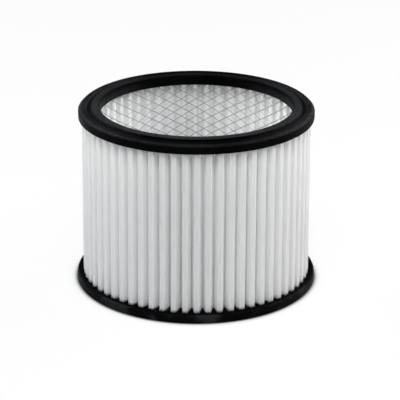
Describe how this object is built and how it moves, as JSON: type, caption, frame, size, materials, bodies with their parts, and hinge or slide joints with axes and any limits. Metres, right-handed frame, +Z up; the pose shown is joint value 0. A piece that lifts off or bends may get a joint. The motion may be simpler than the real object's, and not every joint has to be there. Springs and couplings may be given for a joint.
{
  "type": "vacuum cleaner cartridge filter",
  "caption": "Open-ended ring cartridge filter for a wet and dry vacuum cleaner: white pleated sheet round an expanded metal tube, between two black moulded end rings.",
  "frame": {"origin": "centre of the bottom ring's underside, on the floor", "axes": "+Z up along the ring's axis towards the grooved top ring; -Y is the side seen in the picture, with +X to its right"},
  "size_m": [0.187, 0.187, 0.141],
  "materials": {
    "black_moulding": "matt to silky, cast elastomer",
    "white_media": "matt nonwoven sheet",
    "grey_mesh": "dull zinc-coated"
  },
  "bodies": {
    "root": {"top_end_cap": "black_moulding", "bottom_end_cap": "black_moulding", "pleated_media": "white_media", "support_mesh": "grey_mesh"}
  },
  "joints": []
}
